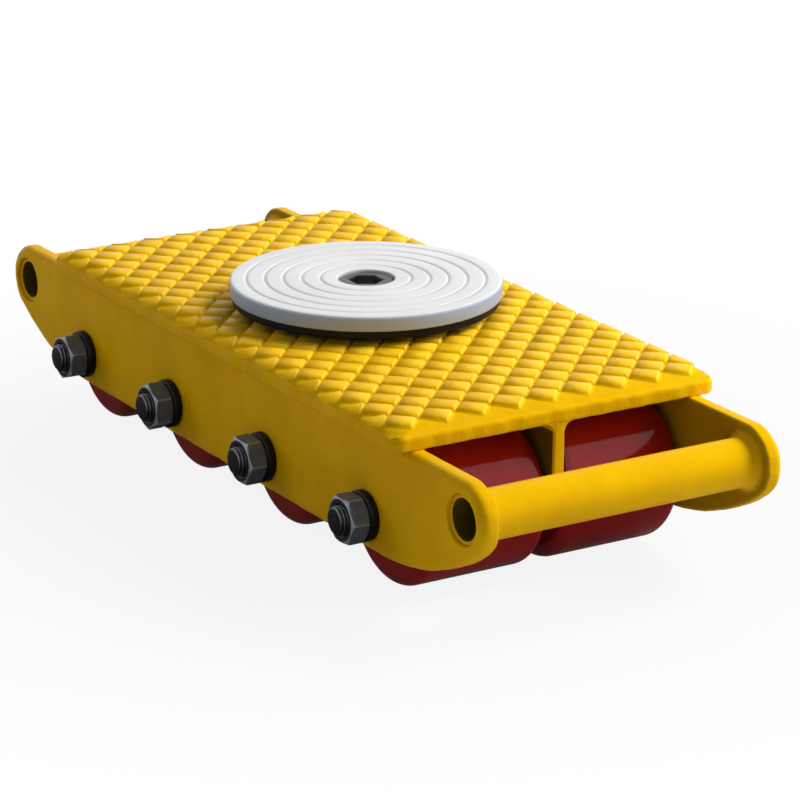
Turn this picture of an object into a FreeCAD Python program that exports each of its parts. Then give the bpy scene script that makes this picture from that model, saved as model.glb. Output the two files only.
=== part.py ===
"""Machine skate: treaded deck on side plates, eight rollers on four axles, swivelling load plate.

X runs along the skate (front is +X), Y across it (left is +Y), Z up. The origin lies on the ground
under the middle of the deck. Millimetres.
"""
import FreeCAD
import Part
import math
import os

V = FreeCAD.Vector
Y_AXIS = V(0, 1, 0)
Z_AXIS = V(0, 0, 1)
SIDES = {"left": 1, "right": -1}
SAME_PLACE = 1e-6

# Rollers and axles
AXLE_COUNT = 4
ROLLER_DIAMETER = 82.0
ROLLER_SPACING = 25.0
ROLLER_TOP_GAP = 5.0
ROLLER_RIB_GAP = 1.25
ROLLER_PLATE_GAP = 2.25
ROLLER_SHOULDER = 7.5
CORE_WALL = 2.5
CORE_INSET = 0.8
CORE_WEB = 4.0
AXLE_GROUP_SHIFT = -6.0
SHAFT_DIAMETER = 20.0
SHAFT_SHOULDER_INSET = 0.5
SHAFT_FIT = 0.05

# Roller bearings, two in each roller
BEARING_WALL = 13.5
BEARING_WIDTH = 14.0
BEARING_INSET = 2.0
RING_SHOULDER_GAP = 5.0
BALL_DIAMETER = 7.5
BALL_COUNT = 8
BALL_PLAY = 0.25
CAGE_THICKNESS = 2.2
CAGE_WIDTH = 9.0
SLEEVE_WALL = 3.5

# Axle fasteners
THREAD_DIAMETER = 16.0
THREAD_FIT = 0.05
THREAD_STANDOUT = 3.5
THREAD_CHAMFER = 1.2
NUT_FLATS = 24.0
NUT_HEIGHT = 11.0
NUT_CHAMFER_ANGLE = 30.0
NUT_TURN = 30.0
WASHER_WALL = 5.5
WASHER_THICKNESS = 5.0
WASHER_PLAY = 0.3
WASHER_SLIT = 2.0

# Side plates, ears and centre rib
PLATE_SPAN = 185.0
PLATE_THICKNESS = 10.5
PLATE_BELOW_AXLE = 19.5
PLATE_OUTER_ROUND = 4.5
PLATE_INNER_ROUND = 1.5
EAR_RADIUS = 20.5
EAR_REACH = 49.5
SWEEP_RADIUS = 160.0
RIB_THICKNESS = 7.0
RIB_SETBACK = 1.5
RIB_NOSE = 38.0
RIB_UNDERCUT = 32.0
RIB_FILLET = 4.0

# Cross tubes
TUBE_DIAMETER = 26.5
TUBE_BORE = 21.5
TUBE_FIT = 0.05
TUBE_END_INSET = 2.0
EAR_COUNTERSINK = 1.2
TUBE_COLLAR_WALL = 4.0
TUBE_COLLAR_LENGTH = 3.5

# Deck
DECK_OVERRUN = 34.5
DECK_OVERHANG = 8.0
DECK_EDGE = 6.5
DECK_EDGE_ROUND = 2.0
DECK_RIM_RISE = 3.5
DECK_RIM_RUN = 3.0
DECK_CORNER_RADIUS = 8.5

# Tread pads, lozenges on a two-way diagonal grid
PAD_PITCH_ALONG = 22.3
PAD_PITCH_ACROSS = 21.7
PAD_HEIGHT = 2.7
PAD_GROOVE = 2.4
PAD_FLANK = 1.9

# Turntable and its pivot
LAND_RADIUS = 44.0
LAND_HEIGHT = 0.7
THRUST_BORE = 50.0
THRUST_WALL = 10.0
THRUST_HEIGHT = 14.0
THRUST_RACE = 4.0
THRUST_BALL = 9.0
THRUST_BALL_COUNT = 18
THRUST_CAGE_WIDTH = 11.0
THRUST_CAGE_THICKNESS = 2.4
THRUST_SEAT_DEPTH = 4.0
TURNTABLE_DIAMETER = 153.0
TURNTABLE_THICKNESS = 8.6
TURNTABLE_TOP_ROUND = 2.5
TURNTABLE_LOW_ROUND = 0.8
GROOVE_FIRST_RADIUS = 25.5
GROOVE_STEP = 10.4
GROOVE_COUNT = 5
GROOVE_WIDTH = 2.4
GROOVE_DEPTH = 0.7
SKIRT_INSET = 1.5
SKIRT_WIDTH = 12.0
SKIRT_GAP = 3.3
HUB_PLAY = 1.5
HUB_GAP = 1.0
HUB_FLOOR = 6.3
BUSH_WALL = 2.0
BUSH_PLAY = 0.05
PIVOT_SHOULDER = 24.0
PIVOT_HEAD = 31.0
PIVOT_HEAD_PLAY = 0.7
PIVOT_HEAD_LIFT = 0.3
PIVOT_HEAD_SINK = 1.3
PIVOT_HEAD_CHAMFER = 0.8
PIVOT_SOCKET_FLATS = 17.0
PIVOT_SOCKET_DEPTH = 6.5
PIVOT_THREAD = 20.0
PIVOT_THREAD_END_GAP = 1.0
BOSS_WALL = 12.0
BOSS_DEPTH = 10.0
BOSS_FLOOR = 1.0

# Heights and places that follow from the sizes above
AXLE_Z = ROLLER_DIAMETER / 2
AXLE_PITCH = ROLLER_DIAMETER + ROLLER_SPACING
AXLE_X = [AXLE_GROUP_SHIFT + ((AXLE_COUNT - 1) / 2 - i) * AXLE_PITCH for i in range(AXLE_COUNT)]
PLATE_OUT = PLATE_SPAN / 2
PLATE_IN = PLATE_OUT - PLATE_THICKNESS
PLATE_BOTTOM = AXLE_Z - PLATE_BELOW_AXLE
RIB_FACE = RIB_THICKNESS / 2
ROLLER_IN = RIB_FACE + ROLLER_RIB_GAP
ROLLER_OUT = PLATE_IN - ROLLER_PLATE_GAP
CORE_IN = ROLLER_IN + CORE_INSET
CORE_OUT = ROLLER_OUT - CORE_INSET
BEARING_IN = CORE_IN + BEARING_INSET
BEARING_OUT = CORE_OUT - BEARING_INSET
BEARING_STARTS = [BEARING_IN, BEARING_OUT - BEARING_WIDTH]
SHAFT_R = SHAFT_DIAMETER / 2
SEAT_R = SHAFT_R + SHAFT_FIT
BEARING_R = SHAFT_R + BEARING_WALL
BALL_PITCH_R = (SHAFT_R + BEARING_R) / 2
INNER_RING_R = BALL_PITCH_R - RING_SHOULDER_GAP / 2
OUTER_RING_R = BALL_PITCH_R + RING_SHOULDER_GAP / 2
CORE_R = BEARING_R + CORE_WALL
DECK_UNDERSIDE = ROLLER_DIAMETER + ROLLER_TOP_GAP
DECK_HALF_LENGTH = (AXLE_COUNT - 1) / 2 * AXLE_PITCH + DECK_OVERRUN
DECK_HALF_WIDTH = PLATE_OUT + DECK_OVERHANG
DECK_RIM_Z = DECK_UNDERSIDE + DECK_EDGE
DECK_FLOOR = DECK_RIM_Z + DECK_RIM_RISE
PAD_TOP = DECK_FLOOR + PAD_HEIGHT
EAR_X = DECK_HALF_LENGTH + EAR_REACH
EAR_Z = DECK_UNDERSIDE - EAR_RADIUS
TUBE_R = TUBE_DIAMETER / 2
LAND_Z = DECK_FLOOR + LAND_HEIGHT
TURNTABLE_LOW = LAND_Z + THRUST_HEIGHT - THRUST_SEAT_DEPTH
TURNTABLE_TOP = TURNTABLE_LOW + TURNTABLE_THICKNESS
TURNTABLE_R = TURNTABLE_DIAMETER / 2
THRUST_IN = THRUST_BORE / 2
THRUST_OUT = THRUST_IN + THRUST_WALL
THRUST_PITCH_R = (THRUST_IN + THRUST_OUT) / 2
THRUST_BALL_Z = LAND_Z + THRUST_HEIGHT / 2
HUB_R = THRUST_IN - HUB_PLAY
HUB_LOW = LAND_Z + HUB_GAP
HUB_SEAT = HUB_LOW + HUB_FLOOR
PIVOT_HEAD_LOW = HUB_SEAT + PIVOT_HEAD_LIFT
PIVOT_HEAD_TOP = TURNTABLE_TOP - PIVOT_HEAD_SINK
BOSS_R = PIVOT_THREAD / 2 + BOSS_WALL
BOSS_LOW = DECK_UNDERSIDE - BOSS_DEPTH


def rod(radius, start, end, x=0.0, z=AXLE_Z):
    """Solid cylinder along Y from start to end."""
    return Part.makeCylinder(radius, end - start, V(x, start, z), Y_AXIS)


def ring(outer, inner, start, end, x=0.0, z=AXLE_Z):
    """Tube along Y from start to end."""
    return rod(outer, start, end, x, z).cut(rod(inner, start, end, x, z))


def disc(radius, low, high):
    """Solid cylinder on the turntable's axis."""
    return Part.makeCylinder(radius, high - low, V(0, 0, low), Z_AXIS)


def washer(outer, inner, low, high):
    """Flat ring on the turntable's axis."""
    return disc(outer, low, high).cut(disc(inner, low, high))


def hexagon(flats, length, base, direction, turn=0.0):
    """Hexagonal prism across its flats, from base along direction."""
    radius = flats / math.sqrt(3)
    corners = []
    for i in range(7):
        angle = math.radians(60 * i + turn)
        corners.append(V(radius * math.cos(angle), radius * math.sin(angle), 0))
    prism = Part.Face(Part.makePolygon(corners)).extrude(V(0, 0, length))
    prism.Placement = FreeCAD.Placement(base, FreeCAD.Rotation(Z_AXIS, direction))
    return prism


def turned(profile):
    """Solid of revolution about the axle line at x = 0; profile is (radius, y) corners."""
    corners = [V(r, y, AXLE_Z) for r, y in profile]
    face = Part.Face(Part.makePolygon(corners + corners[:1]))
    return face.revolve(V(0, 0, AXLE_Z), Y_AXIS, 360)


def mirrored(shape, side):
    """The shape for the left side, or its mirror image across the middle for the right."""
    if side > 0:
        return shape
    return shape.mirror(V(0, 0, 0), Y_AXIS)


def placed(shapes, x, side=1):
    """Copies of pieces made for the left of x = 0, moved to an axle and side."""
    return [mirrored(shape.translated(V(x, 0, 0)), side) for shape in shapes]


def at_height(edges, z):
    """The edges that lie level at height z."""
    return [e for e in edges if all(abs(v.Point.z - z) < SAME_PLACE for v in e.Vertexes)]


def rounded_rectangle(half_length, half_width, radius, z):
    """Closed wire of a level rectangle with round corners."""
    edges = []
    inner_x = half_length - radius
    inner_y = half_width - radius
    reach = radius * math.sqrt(0.5)
    for sx, sy in ((1, 1), (-1, 1), (-1, -1), (1, -1)):
        along = V(sx * half_length, sy * inner_y, z)
        across = V(sx * inner_x, sy * half_width, z)
        middle = V(sx * (inner_x + reach), sy * (inner_y + reach), z)
        first, last = (along, across) if sx * sy > 0 else (across, along)
        edges.append(Part.Arc(first, middle, last).toShape())
    straight = []
    for i, edge in enumerate(edges):
        following = edges[(i + 1) % len(edges)]
        start = edge.Vertexes[-1].Point
        end = following.Vertexes[0].Point
        straight.append(Part.LineSegment(start, end).toShape())
    return Part.Wire([e for pair in zip(edges, straight) for e in pair])


def side_plate():
    """Left side plate: straight bottom, long sweeps up to round ears, level top under the deck."""
    sweep_z = PLATE_BOTTOM + SWEEP_RADIUS
    rise = sweep_z - EAR_Z
    sweep_x = EAR_X - math.sqrt((SWEEP_RADIUS - EAR_RADIUS) ** 2 - rise ** 2)
    lean = math.atan2(rise, EAR_X - sweep_x)
    ear_end = V(EAR_X + EAR_RADIUS, 0, EAR_Z)
    meet = V(EAR_X + EAR_RADIUS * math.cos(lean), 0, EAR_Z - EAR_RADIUS * math.sin(lean))
    half_lean = (lean + math.pi / 2) / 2
    bend = V(sweep_x + SWEEP_RADIUS * math.cos(half_lean), 0, sweep_z - SWEEP_RADIUS * math.sin(half_lean))
    foot = V(sweep_x, 0, PLATE_BOTTOM)
    crown = V(EAR_X, 0, DECK_UNDERSIDE)

    def back(point):
        return V(-point.x, point.y, point.z)

    edges = [
        Part.LineSegment(back(foot), foot).toShape(),
        Part.Arc(foot, bend, meet).toShape(),
        Part.Arc(meet, ear_end, crown).toShape(),
        Part.LineSegment(crown, back(crown)).toShape(),
        Part.Arc(back(crown), back(ear_end), back(meet)).toShape(),
        Part.Arc(back(meet), back(bend), back(foot)).toShape(),
    ]
    plate = Part.Face(Part.Wire(edges)).extrude(V(0, PLATE_THICKNESS, 0))
    plate.translate(V(0, PLATE_IN, 0))
    outer = [e for e in plate.Edges if all(abs(v.Point.y - PLATE_OUT) < SAME_PLACE for v in e.Vertexes)]
    plate = plate.makeFillet(PLATE_OUTER_ROUND, outer)
    inner = [e for e in plate.Edges if all(abs(v.Point.y - PLATE_IN) < SAME_PLACE for v in e.Vertexes)]
    plate = plate.makeFillet(PLATE_INNER_ROUND, inner)
    head_low = DECK_UNDERSIDE - 2 * PLATE_OUTER_ROUND
    head = Part.makeBox(
        2 * DECK_HALF_LENGTH - 2 * DECK_CORNER_RADIUS,
        PLATE_THICKNESS,
        DECK_RIM_Z - head_low,
        V(-DECK_HALF_LENGTH + DECK_CORNER_RADIUS, PLATE_IN, head_low),
    )
    return plate.fuse(head)


def centre_rib():
    """Upright rib under the middle of the deck, cut back below its ends and filleted to the deck."""
    end = DECK_HALF_LENGTH - RIB_SETBACK
    nose = DECK_UNDERSIDE - RIB_NOSE
    outline = [(end, DECK_RIM_Z), (end, nose), (end - RIB_UNDERCUT, PLATE_BOTTOM)]
    corners = [V(x, -RIB_FACE, z) for x, z in outline]
    corners += [V(-x, -RIB_FACE, z) for x, z in reversed(outline)]
    rib = Part.Face(Part.makePolygon(corners + corners[:1])).extrude(V(0, RIB_THICKNESS, 0))
    fillets = []
    for side in SIDES.values():
        tip = V(-end, side * (RIB_FACE + RIB_FILLET), DECK_UNDERSIDE)
        foot = V(-end, side * RIB_FACE, DECK_UNDERSIDE - RIB_FILLET)
        hollow = RIB_FILLET * (1 - math.sqrt(0.5))
        middle = V(-end, side * (RIB_FACE + hollow), DECK_UNDERSIDE - hollow)
        corner = V(-end, 0, DECK_RIM_Z)
        top = V(-end, tip.y, DECK_RIM_Z)
        low = V(-end, 0, foot.z)
        edges = [Part.Arc(tip, middle, foot).toShape()]
        for a, b in ((foot, low), (low, corner), (corner, top), (top, tip)):
            edges.append(Part.LineSegment(a, b).toShape())
        fillets.append(Part.Face(Part.Wire(edges)).extrude(V(2 * end, 0, 0)))
    return [rib] + fillets


def deck():
    """Deck plate: upright edge with a rounded lower corner, then a rim that slopes up to the tread floor."""
    outline = rounded_rectangle(DECK_HALF_LENGTH, DECK_HALF_WIDTH, DECK_CORNER_RADIUS, DECK_UNDERSIDE)
    slab = Part.Face(outline).extrude(V(0, 0, DECK_EDGE))
    slab = slab.makeFillet(DECK_EDGE_ROUND, at_height(slab.Edges, DECK_UNDERSIDE))
    wires = []
    for inset, z in ((0, DECK_RIM_Z), (DECK_RIM_RUN, DECK_FLOOR)):
        half_length = DECK_HALF_LENGTH - inset
        half_width = DECK_HALF_WIDTH - inset
        wires.append(rounded_rectangle(half_length, half_width, DECK_CORNER_RADIUS - inset, z))
    return slab.fuse(Part.makeLoft(wires, True, True))


def tread_pad():
    """One tapered lozenge pad standing on the tread floor at the middle."""
    half_along = PAD_PITCH_ALONG / 2
    half_across = PAD_PITCH_ACROSS / 2
    spread = math.hypot(half_along, half_across) / (half_along * half_across)
    wires = []
    for inset, z in ((PAD_GROOVE / 2, DECK_FLOOR), (PAD_GROOVE / 2 + PAD_FLANK, PAD_TOP)):
        a = half_along * (1 - inset * spread)
        b = half_across * (1 - inset * spread)
        points = [V(a, 0, z), V(0, b, z), V(-a, 0, z), V(0, -b, z)]
        wires.append(Part.makePolygon(points + points[:1]))
    return Part.makeLoft(wires, True, True)


def treaded_deck():
    """Deck with staggered rows of pads, built face by face: each pad's foot is a hole in the tread floor."""
    plain = deck()
    half_along = PAD_PITCH_ALONG / 2
    half_across = PAD_PITCH_ACROSS / 2
    pad = tread_pad()
    reach_along = pad.BoundBox.XMax + DECK_RIM_RUN
    reach_across = pad.BoundBox.YMax + DECK_RIM_RUN
    columns = int((DECK_HALF_LENGTH - reach_along) / half_along)
    rows = int((DECK_HALF_WIDTH - reach_across) / half_across)
    floor = max(plain.Faces, key=lambda f: f.CenterOfMass.z)
    wires = [floor.OuterWire]
    faces = [f for f in plain.Faces if not f.isSame(floor)]
    for column in range(-columns, columns + 1):
        for row in range(-rows, rows + 1):
            x = column * half_along
            y = row * half_across
            if (column + row) % 2 or math.hypot(x, y) < LAND_RADIUS + half_along:
                continue
            for face in pad.translated(V(x, y, 0)).Faces:
                if face.BoundBox.ZMax > DECK_FLOOR + SAME_PLACE:
                    faces.append(face)
                else:
                    wires.append(face.OuterWire)
    shell = Part.Shell(faces + [Part.Face(wires)])
    shell.sewShape()
    return Part.Solid(shell)


def frame_casting():
    """Deck, side plates, rib, tube collars and pivot boss as one casting, drilled for what it carries."""
    pieces = centre_rib()
    pieces += [disc(LAND_RADIUS, DECK_RIM_Z, LAND_Z), disc(BOSS_R, BOSS_LOW, DECK_RIM_Z)]
    for side in SIDES.values():
        pieces.append(mirrored(side_plate(), side))
        for x in (EAR_X, -EAR_X):
            wide = TUBE_R + TUBE_COLLAR_WALL
            start = PLATE_IN + PLATE_INNER_ROUND
            length = TUBE_COLLAR_LENGTH + PLATE_INNER_ROUND
            collar = Part.makeCone(wide, TUBE_R + TUBE_FIT, length, V(x, start, EAR_Z), V(0, -1, 0))
            pieces.append(mirrored(collar, side))
    body = treaded_deck().fuse(pieces)
    holes = [rod(SEAT_R, -DECK_HALF_WIDTH, DECK_HALF_WIDTH, x) for x in AXLE_X]
    for x in (EAR_X, -EAR_X):
        holes.append(rod(TUBE_R + TUBE_FIT, -DECK_HALF_WIDTH, DECK_HALF_WIDTH, x, EAR_Z))
        for side in SIDES.values():
            mouth = TUBE_R + EAR_COUNTERSINK
            sink = Part.makeCone(mouth, TUBE_R, EAR_COUNTERSINK, V(x, PLATE_OUT, EAR_Z), V(0, -1, 0))
            holes.append(mirrored(sink, side))
    holes.append(disc(PIVOT_THREAD / 2 + THREAD_FIT, BOSS_LOW + BOSS_FLOOR, LAND_Z))
    return body.cut(holes)


def cross_tube(x):
    """Open tube that ties the two ears together, its ends sunk in the ear holes."""
    end = PLATE_OUT - TUBE_END_INSET
    return ring(TUBE_R, TUBE_BORE / 2, -end, end, x, EAR_Z)


def axle_shaft():
    """Plain shaft through plates and rib with a smaller threaded end on each side."""
    shoulder = PLATE_OUT - SHAFT_SHOULDER_INSET
    tip = PLATE_OUT + WASHER_THICKNESS + NUT_HEIGHT + THREAD_STANDOUT
    thread_r = THREAD_DIAMETER / 2
    half = [(SHAFT_R, shoulder), (thread_r, shoulder), (thread_r, tip - THREAD_CHAMFER)]
    half.append((thread_r - THREAD_CHAMFER, tip))
    profile = half + [(0, tip), (0, -tip)]
    profile += [(r, -y) for r, y in reversed(half)]
    return turned(profile)


def axle_nut():
    """Hexagon nut chamfered on both faces."""
    start = PLATE_OUT + WASHER_THICKNESS
    nut = hexagon(NUT_FLATS, NUT_HEIGHT, V(0, start, AXLE_Z), Y_AXIS, NUT_TURN)
    corner = NUT_FLATS / math.sqrt(3)
    face_r = NUT_FLATS / 2
    drop = (corner - face_r) * math.tan(math.radians(NUT_CHAMFER_ANGLE))
    bore = THREAD_DIAMETER / 2 + THREAD_FIT
    end = start + NUT_HEIGHT
    profile = [(bore, start), (face_r, start), (corner, start + drop), (corner, end - drop)]
    profile += [(face_r, end), (bore, end)]
    return nut.common(turned(profile))


def lock_washer():
    """Split spring washer under a nut."""
    inner = THREAD_DIAMETER / 2 + WASHER_PLAY
    outer = inner + WASHER_WALL
    corner = V(-WASHER_SLIT / 2, PLATE_OUT, AXLE_Z - outer)
    slit = Part.makeBox(WASHER_SLIT, WASHER_THICKNESS, outer, corner)
    return ring(outer, inner, PLATE_OUT, PLATE_OUT + WASHER_THICKNESS).cut(slit)


def axle_collars():
    """Two collars on the shaft that hold the bearings off the rib and the side plate."""
    spans = [(RIB_FACE, BEARING_IN), (BEARING_OUT, PLATE_IN)]
    return [ring(INNER_RING_R, SEAT_R, start, end) for start, end in spans]


def spacer_sleeve():
    """Sleeve on the shaft between a roller's two inner rings."""
    return ring(SEAT_R + SLEEVE_WALL, SEAT_R, BEARING_IN + BEARING_WIDTH, BEARING_OUT - BEARING_WIDTH)


def bearing_rings(outer, inner):
    """One ring of each of a roller's two bearings, with the channel that its balls run in."""
    rings = []
    for start in BEARING_STARTS:
        middle = V(0, start + BEARING_WIDTH / 2, AXLE_Z)
        track = Part.makeTorus(BALL_PITCH_R, BALL_DIAMETER / 2 + BALL_PLAY, middle, Y_AXIS)
        rings.append(ring(outer, inner, start, start + BEARING_WIDTH).cut(track))
    return rings


def ball_directions(count):
    """Cosine and sine of evenly spaced places round a ball row."""
    angles = [2 * math.pi * i / count for i in range(count)]
    return [(math.cos(a), math.sin(a)) for a in angles]


def bearing_balls():
    """The balls of a roller's two bearings."""
    balls = []
    for start in BEARING_STARTS:
        for c, s in ball_directions(BALL_COUNT):
            centre = V(BALL_PITCH_R * c, start + BEARING_WIDTH / 2, AXLE_Z + BALL_PITCH_R * s)
            balls.append(Part.makeSphere(BALL_DIAMETER / 2, centre))
    return balls


def bearing_cages():
    """Cage rings that keep the balls apart, drilled with a pocket for each ball."""
    cages = []
    outer = BALL_PITCH_R + CAGE_THICKNESS / 2
    for start in BEARING_STARTS:
        middle = start + BEARING_WIDTH / 2
        blank = ring(outer, outer - CAGE_THICKNESS, middle - CAGE_WIDTH / 2, middle + CAGE_WIDTH / 2)
        pockets = []
        for c, s in ball_directions(BALL_COUNT):
            pocket_r = BALL_DIAMETER / 2 + BALL_PLAY
            pockets.append(Part.makeCylinder(pocket_r, BEARING_R, V(0, middle, AXLE_Z), V(c, 0, s)))
        cages.append(blank.cut(pockets))
    return cages


def roller_core():
    """Steel core with a bearing seat at each end and a web between them."""
    seat_in = BEARING_IN + BEARING_WIDTH
    seat_out = BEARING_OUT - BEARING_WIDTH
    web_r = BEARING_R - CORE_WEB
    profile = [(CORE_R, CORE_IN), (CORE_R, CORE_OUT), (BEARING_R, CORE_OUT), (BEARING_R, seat_out)]
    profile += [(web_r, seat_out), (web_r, seat_in), (BEARING_R, seat_in), (BEARING_R, CORE_IN)]
    return turned(profile)


def roller_tyre():
    """Cast polyurethane tyre on the core, with large round shoulders."""
    tyre = ring(ROLLER_DIAMETER / 2, CORE_R, ROLLER_IN, ROLLER_OUT)
    rims = [e for e in tyre.Edges if hasattr(e.Curve, "Radius")]
    rims = [e for e in rims if abs(e.Curve.Radius - ROLLER_DIAMETER / 2) < SAME_PLACE]
    shoulder = min(ROLLER_SHOULDER, ROLLER_DIAMETER / 2 - CORE_R - CORE_INSET)
    return tyre.makeFillet(shoulder, rims)


def turntable_plate():
    """Round load plate with ring grooves, a hub below and a counterbore for the pivot's head."""
    plate = disc(TURNTABLE_R, TURNTABLE_LOW, TURNTABLE_TOP)
    rims = {TURNTABLE_TOP: TURNTABLE_TOP_ROUND, TURNTABLE_LOW: TURNTABLE_LOW_ROUND}
    for z, radius in rims.items():
        plate = plate.makeFillet(radius, at_height(plate.Edges, z))
    cuts = [washer(THRUST_OUT + BUSH_PLAY, HUB_R, TURNTABLE_LOW, TURNTABLE_LOW + THRUST_SEAT_DEPTH)]
    for i in range(GROOVE_COUNT):
        middle = GROOVE_FIRST_RADIUS + i * GROOVE_STEP
        half = GROOVE_WIDTH / 2
        corners = [V(middle - half, 0, TURNTABLE_TOP), V(middle + half, 0, TURNTABLE_TOP)]
        corners.append(V(middle, 0, TURNTABLE_TOP - GROOVE_DEPTH))
        cuts.append(Part.Face(Part.makePolygon(corners + corners[:1])).revolve(V(0, 0, 0), Z_AXIS, 360))
    cuts.append(disc(PIVOT_HEAD / 2 + PIVOT_HEAD_PLAY, HUB_SEAT, TURNTABLE_TOP))
    cuts.append(disc(PIVOT_SHOULDER / 2 + BUSH_PLAY + BUSH_WALL, HUB_LOW, HUB_SEAT))
    return plate.fuse(disc(HUB_R, HUB_LOW, TURNTABLE_TOP - TURNTABLE_TOP_ROUND)).cut(cuts)


def turntable_skirt():
    """Black ring under the load plate's rim that keeps dirt out of the bearing."""
    outer = TURNTABLE_R - SKIRT_INSET
    return washer(outer, outer - SKIRT_WIDTH, PAD_TOP + SKIRT_GAP, TURNTABLE_LOW)


def turntable_bush():
    """Plain bush in the hub that turns on the pivot's shoulder."""
    inner = PIVOT_SHOULDER / 2 + BUSH_PLAY
    return washer(inner + BUSH_WALL, inner, HUB_LOW, HUB_SEAT)


def pivot_screw():
    """Shoulder screw with a hexagon socket, fixed in the deck's boss."""
    seat = PIVOT_THREAD / 2
    screw = disc(seat, BOSS_LOW + BOSS_FLOOR + PIVOT_THREAD_END_GAP, LAND_Z)
    screw = screw.fuse(disc(PIVOT_SHOULDER / 2, LAND_Z, PIVOT_HEAD_LOW))
    head = disc(PIVOT_HEAD / 2, PIVOT_HEAD_LOW, PIVOT_HEAD_TOP)
    head = head.makeChamfer(PIVOT_HEAD_CHAMFER, at_height(head.Edges, PIVOT_HEAD_TOP))
    mouth = V(0, 0, PIVOT_HEAD_TOP - PIVOT_SOCKET_DEPTH)
    return screw.fuse(head).cut(hexagon(PIVOT_SOCKET_FLATS, PIVOT_SOCKET_DEPTH, mouth, Z_AXIS))


def thrust_race(low):
    """Grooved race washer of the thrust bearing."""
    track = Part.makeTorus(THRUST_PITCH_R, THRUST_BALL / 2 + BALL_PLAY, V(0, 0, THRUST_BALL_Z), Z_AXIS)
    return washer(THRUST_OUT, THRUST_IN, low, low + THRUST_RACE).cut(track)


def thrust_balls():
    """The thrust bearing's balls."""
    balls = []
    for c, s in ball_directions(THRUST_BALL_COUNT):
        balls.append(Part.makeSphere(THRUST_BALL / 2, V(THRUST_PITCH_R * c, THRUST_PITCH_R * s, THRUST_BALL_Z)))
    return balls


def thrust_cage():
    """Flat cage between the thrust races, drilled with a pocket for each ball."""
    half = THRUST_CAGE_WIDTH / 2
    low = THRUST_BALL_Z - THRUST_CAGE_THICKNESS / 2
    pockets = []
    for c, s in ball_directions(THRUST_BALL_COUNT):
        foot = V(THRUST_PITCH_R * c, THRUST_PITCH_R * s, low)
        pockets.append(Part.makeCylinder(THRUST_BALL / 2 + BALL_PLAY, THRUST_CAGE_THICKNESS, foot))
    blank = washer(THRUST_PITCH_R + half, THRUST_PITCH_R - half, low, low + THRUST_CAGE_THICKNESS)
    return blank.cut(pockets)


def write(node, solids):
    """Writes one node: a single solid, or a group of separate solids."""
    shape = solids[0] if len(solids) == 1 else Part.makeCompound(solids)
    shape.exportStep("parts/" + node + ".step")


os.makedirs("parts", exist_ok=True)
write("frame_casting", [frame_casting()])
write("front_cross_tube", [cross_tube(EAR_X)])
write("rear_cross_tube", [cross_tube(-EAR_X)])
axle_groups = {
    "axle_nuts": [axle_nut()],
    "axle_lock_washers": [lock_washer()],
    "axle_collars": axle_collars(),
    "bearing_inner_rings": bearing_rings(INNER_RING_R, SEAT_R),
    "bearing_spacer_sleeves": [spacer_sleeve()],
}
for node, left in axle_groups.items():
    write(node, [s for x in AXLE_X for side in SIDES.values() for s in placed(left, x, side)])
roller_groups = {
    "roller_tyre": [roller_tyre()],
    "roller_core": [roller_core()],
    "bearing_outer_rings": bearing_rings(BEARING_R, OUTER_RING_R),
    "bearing_balls": bearing_balls(),
    "bearing_cages": bearing_cages(),
}
for number, axle_x in enumerate(AXLE_X, 1):
    write(f"axle_shaft_{number}", placed([axle_shaft()], axle_x))
    for side_name, side in SIDES.items():
        for group, left in roller_groups.items():
            write(f"{group}_{number}_{side_name}", placed(left, axle_x, side))
write("turntable_plate", [turntable_plate()])
write("turntable_skirt", [turntable_skirt()])
write("turntable_bush", [turntable_bush()])
write("pivot_screw", [pivot_screw()])
write("thrust_lower_race", [thrust_race(LAND_Z)])
write("thrust_upper_race", [thrust_race(LAND_Z + THRUST_HEIGHT - THRUST_RACE)])
write("thrust_balls", thrust_balls())
write("thrust_cage", [thrust_cage()])
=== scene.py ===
"""Looks of the machine skate: a treaded yellow casting on glossy red rollers, with a swivelling load plate.

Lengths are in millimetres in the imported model's frame (X along the skate with the front at +X, Y to its
left, Z up) and become metres where a mesh is made.
"""
import bmesh
import bpy
import numpy as np
from mathutils import Matrix, Vector
from mathutils.geometry import tessellate_polygon


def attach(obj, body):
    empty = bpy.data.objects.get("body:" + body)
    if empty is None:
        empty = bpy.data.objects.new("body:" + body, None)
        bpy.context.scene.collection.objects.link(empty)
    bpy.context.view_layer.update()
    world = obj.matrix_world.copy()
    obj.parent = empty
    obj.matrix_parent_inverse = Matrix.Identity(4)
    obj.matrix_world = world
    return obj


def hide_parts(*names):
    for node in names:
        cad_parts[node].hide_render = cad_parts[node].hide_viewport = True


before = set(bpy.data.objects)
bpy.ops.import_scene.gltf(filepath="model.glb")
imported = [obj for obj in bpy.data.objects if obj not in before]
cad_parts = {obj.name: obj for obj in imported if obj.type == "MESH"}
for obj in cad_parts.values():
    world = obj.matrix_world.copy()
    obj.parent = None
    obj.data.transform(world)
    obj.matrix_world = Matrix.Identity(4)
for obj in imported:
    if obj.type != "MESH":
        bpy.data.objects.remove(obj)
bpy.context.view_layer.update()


# Deck of the casting: sand-cast steel with lozenge pads moulded into its top, rolled over along the sides
# and sloped down at the ends, sprayed with thick yellow enamel; its grooves carry dirt plus painted shade,
# and the pads' lit flanks and edges a painted highlight.
MM = 0.001
DECK_HALF = np.array([195.0, 100.5])
DECK_CORNER = 7.5
DECK_CORE = DECK_HALF - DECK_CORNER
SHEET_INSET = 1.6
SHEET_REACH = DECK_CORNER - SHEET_INSET
DECK_FLOOR = 97.3
DECK_UNDERSIDE = 87.0
END_SLOPE = (183.0, 194.0)
END_DROP = 1.6
SIDE_ROLL = 5.0
RIGHT_ROLL = 8.0
END_ROLL = 3.0
PAD_ALONG = 11.15
PAD_ACROSS = 10.85
PAD_HEIGHT = 2.2
PAD_FLANK = (0.8, 2.6)
PAD_DIP = 0.7
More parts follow.
